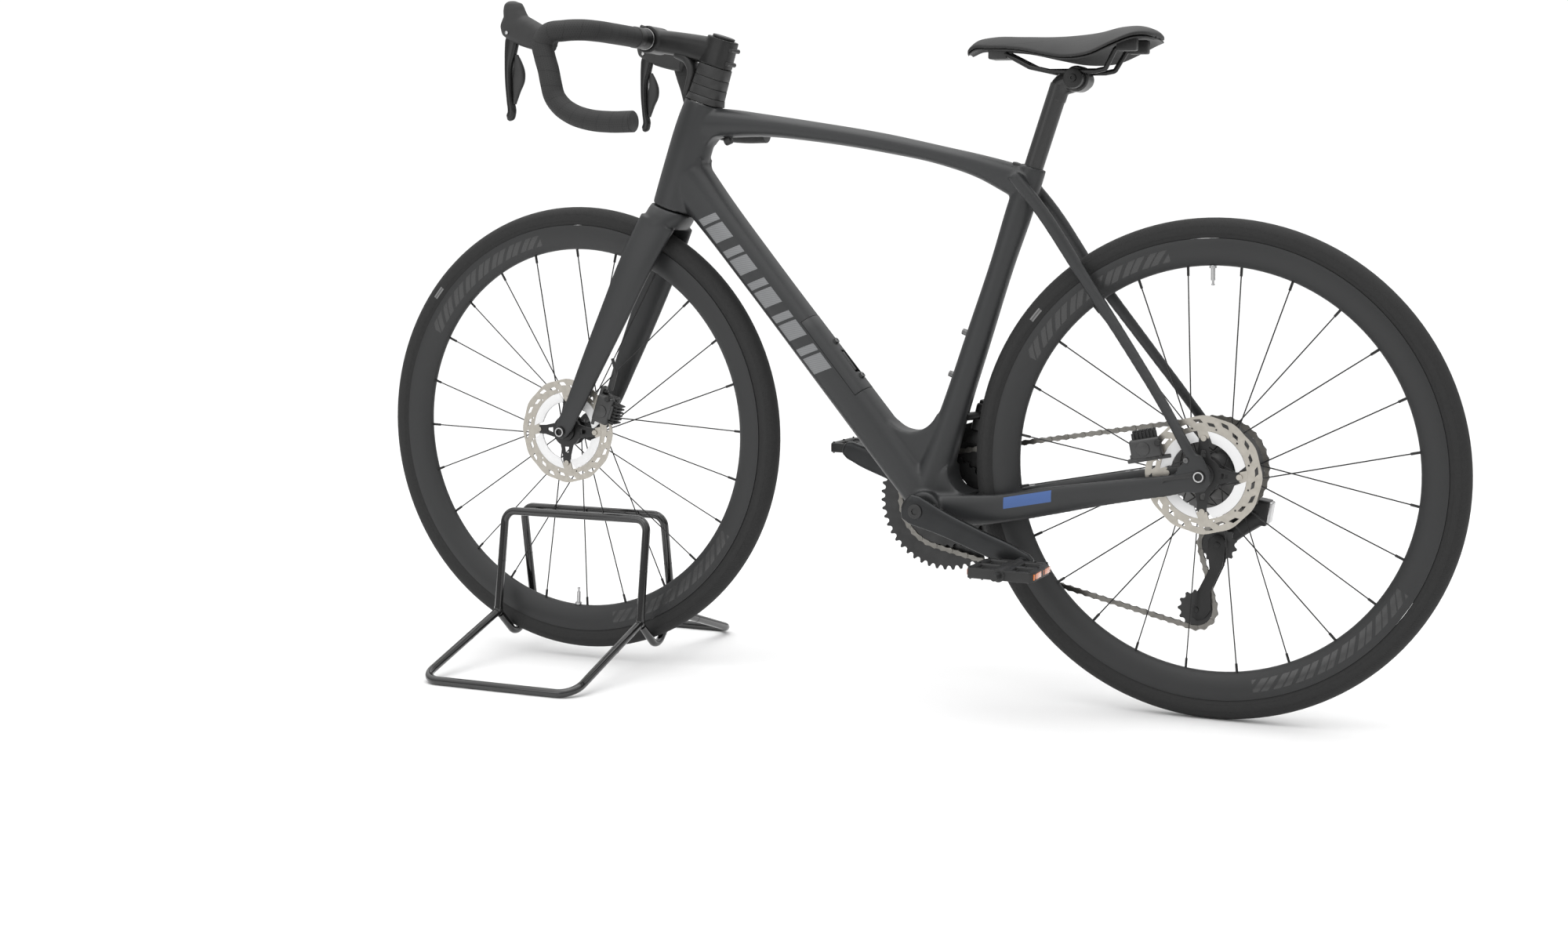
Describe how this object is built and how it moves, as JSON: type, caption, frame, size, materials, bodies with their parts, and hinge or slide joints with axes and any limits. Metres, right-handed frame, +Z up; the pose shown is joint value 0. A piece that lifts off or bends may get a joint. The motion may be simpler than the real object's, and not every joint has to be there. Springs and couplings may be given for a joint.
{
  "type": "bicycle on stand",
  "caption": "Road bicycle with drop handlebar and disc brakes, its front wheel cradled in a bent-tube floor stand that holds it upright.",
  "frame": {"origin": "on the floor, at the middle of the object's own box", "axes": "+X points backwards along the bicycle, from the front wheel to the rear wheel; +Y points to its drive side, which is its right; +Z is up"},
  "size_m": [1.6868, 0.4944, 0.9931],
  "materials": {
    "carbon": "matte charcoal paint over carbon fibre",
    "tyre": "black tyre rubber",
    "rubber": "matte black rubber and tape",
    "rim": "matte dark grey carbon rim",
    "black_metal": "black anodised aluminium",
    "grey_metal": "dark grey anodised aluminium",
    "rotor": "brushed stainless track on an alloy carrier",
    "chain": "dull nickel-plated steel",
    "steel": "ground steel",
    "black_steel": "black painted steel wire",
    "plastic": "black moulded plastic",
    "cover": "black saddle cover over foam",
    "stand": "gloss black paint on steel tube"
  },
  "bodies": {
    "frame": {"head_tube": "carbon", "top_tube": "carbon", "down_tube": "carbon", "seat_tube": "carbon", "seat_wedge": "plastic", "rear_stays_left": "carbon", "rear_stays_right": "carbon", "headset_bearing_lower": "steel", "headset_bearing_upper": "steel", "rear_thru_axle": "black_metal", "rear_caliper": "grey_metal", "front_derailleur": "black_metal", "rear_derailleur_body": "black_metal", "rear_derailleur_cage": "black_metal", "chain": "chain"},
    "storage_door": {"storage_door": "carbon"},
    "door_latch": {"door_latch": "plastic"},
    "seatpost": {"seatpost": "carbon"},
    "saddle_clamp": {"saddle_clamp": "black_metal"},
    "saddle": {"saddle_rails": "black_steel", "saddle_shell": "plastic", "saddle_cover": "cover"},
    "fork_and_bars": {"fork": "carbon", "headset_spacers": "plastic", "stem": "black_metal", "handlebar": "black_metal", "bar_tape_left": "rubber", "bar_tape_right": "rubber", "hood_left": "rubber", "hood_right": "rubber", "front_caliper": "grey_metal", "front_thru_axle": "black_metal", "front_brake_hose": "rubber"},
    "brake_lever_left": {"brake_lever_left": "grey_metal"},
    "brake_lever_right": {"brake_lever_right": "grey_metal"},
    "shift_button_left": {"shift_button_left": "plastic"},
    "shift_button_right": {"shift_button_right": "plastic"},
    "front_wheel": {"front_tyre": "tyre", "front_rim": "rim", "front_hub_and_spokes": "black_metal", "front_rotor": "rotor"},
    "rear_wheel": {"rear_tyre": "tyre", "rear_rim": "rim", "rear_hub_and_spokes": "black_metal", "rear_rotor": "rotor"},
    "cassette": {"cassette": "grey_metal"},
    "crankset": {"crank_arm_left": "grey_metal", "crank_arm_right": "grey_metal", "large_chainring": "grey_metal", "small_chainring": "grey_metal"},
    "pedal_left": {"pedal_left": "plastic"},
    "pedal_right": {"pedal_right": "plastic"},
    "jockey_wheel_upper": {"jockey_wheel_upper": "plastic"},
    "jockey_wheel_lower": {"jockey_wheel_lower": "plastic"},
    "stand": {"stand_side_left": "stand", "stand_side_right": "stand", "stand_cradle_front": "stand", "stand_cradle_rear": "stand"}
  },
  "joints": [
    {"name": "steering", "type": "hinge", "parent": "frame", "child": "fork_and_bars", "pos_m": [-0.30627, 0, 0.77496], "axis": [0.3261, 0, 0.9453], "range_deg": [-55, 55]},
    {"name": "front_wheel_spin", "type": "hinge", "parent": "fork_and_bars", "child": "front_wheel", "pos_m": [-0.50043, 0, 0.35925], "axis": [0, 1, 0], "continuous": true},
    {"name": "stand_lift_off", "type": "slide", "parent": "fork_and_bars", "child": "stand", "axis": [0, 0, -1], "range_m": [0, 0.25]},
    {"name": "rear_wheel_spin", "type": "hinge", "parent": "frame", "child": "rear_wheel", "pos_m": [0.50043, 0, 0.343], "axis": [0, 1, 0], "continuous": true},
    {"name": "crank_spin", "type": "hinge", "parent": "frame", "child": "crankset", "pos_m": [0.09124, 0, 0.27263], "axis": [0, 1, 0], "continuous": true},
    {"name": "cassette_spin", "type": "hinge", "parent": "frame", "child": "cassette", "pos_m": [0.50043, 0, 0.343], "axis": [0, 1, 0], "continuous": true},
    {"name": "jockey_wheel_upper_spin", "type": "hinge", "parent": "frame", "child": "jockey_wheel_upper", "pos_m": [0.50271, 0.0255, 0.23695], "axis": [0, 1, 0], "continuous": true},
    {"name": "jockey_wheel_lower_spin", "type": "hinge", "parent": "frame", "child": "jockey_wheel_lower", "pos_m": [0.47321, 0.0255, 0.14442], "axis": [0, 1, 0], "continuous": true},
    {"name": "pedal_left_spin", "type": "hinge", "parent": "crankset", "child": "pedal_left", "pos_m": [0.25181, -0.129, 0.20961], "axis": [0, 1, 0], "continuous": true},
    {"name": "pedal_right_spin", "type": "hinge", "parent": "crankset", "child": "pedal_right", "pos_m": [-0.06934, 0.129, 0.33566], "axis": [0, 1, 0], "continuous": true},
    {"name": "storage_door_lift", "type": "slide", "parent": "frame", "child": "storage_door", "axis": [0.7659, 0, 0.6429], "range_m": [0, 0.03]},
    {"name": "door_latch_swing", "type": "hinge", "parent": "storage_door", "child": "door_latch", "pos_m": [-0.03468, 0, 0.462], "axis": [0, 1, 0], "range_deg": [0, 60]},
    {"name": "seatpost_height", "type": "slide", "parent": "frame", "child": "seatpost", "axis": [0.3211, 0, 0.947], "range_m": [-0.04, 0.06]},
    {"name": "saddle_tilt", "type": "hinge", "parent": "seatpost", "child": "saddle_clamp", "pos_m": [0.30606, 0, 0.87623], "axis": [0, 1, 0], "range_deg": [-10, 10]},
    {"name": "saddle_setback", "type": "slide", "parent": "saddle_clamp", "child": "saddle", "axis": [0.9999, 0, -0.0162], "range_m": [-0.012, 0.012]},
    {"name": "brake_lever_left_pull", "type": "hinge", "parent": "fork_and_bars", "child": "brake_lever_left", "pos_m": [-0.48777, -0.19, 0.94528], "axis": [0, -1, 0], "range_deg": [0, 18], "stiffness_Nm_per_rad": 2, "springref_deg": -5.73},
    {"name": "shift_button_left_press", "type": "hinge", "parent": "brake_lever_left", "child": "shift_button_left", "pos_m": [-0.47836, -0.19, 0.90913], "axis": [1, 0, 0], "range_deg": [0, 3], "stiffness_Nm_per_rad": 0.5, "springref_deg": -2.86},
    {"name": "brake_lever_right_pull", "type": "hinge", "parent": "fork_and_bars", "child": "brake_lever_right", "pos_m": [-0.48777, 0.19, 0.94528], "axis": [0, -1, 0], "range_deg": [0, 18], "stiffness_Nm_per_rad": 2, "springref_deg": -5.73},
    {"name": "shift_button_right_press", "type": "hinge", "parent": "brake_lever_right", "child": "shift_button_right", "pos_m": [-0.47836, 0.19, 0.90913], "axis": [-1, 0, 0], "range_deg": [0, 3], "stiffness_Nm_per_rad": 0.5, "springref_deg": -2.86}
  ],
  "couplings": [
    {"joint": "cassette_spin", "follows": "crank_spin", "ratio": 1},
    {"joint": "jockey_wheel_upper_spin", "follows": "crank_spin", "ratio": -2.6154},
    {"joint": "jockey_wheel_lower_spin", "follows": "crank_spin", "ratio": 2.6154}
  ]
}
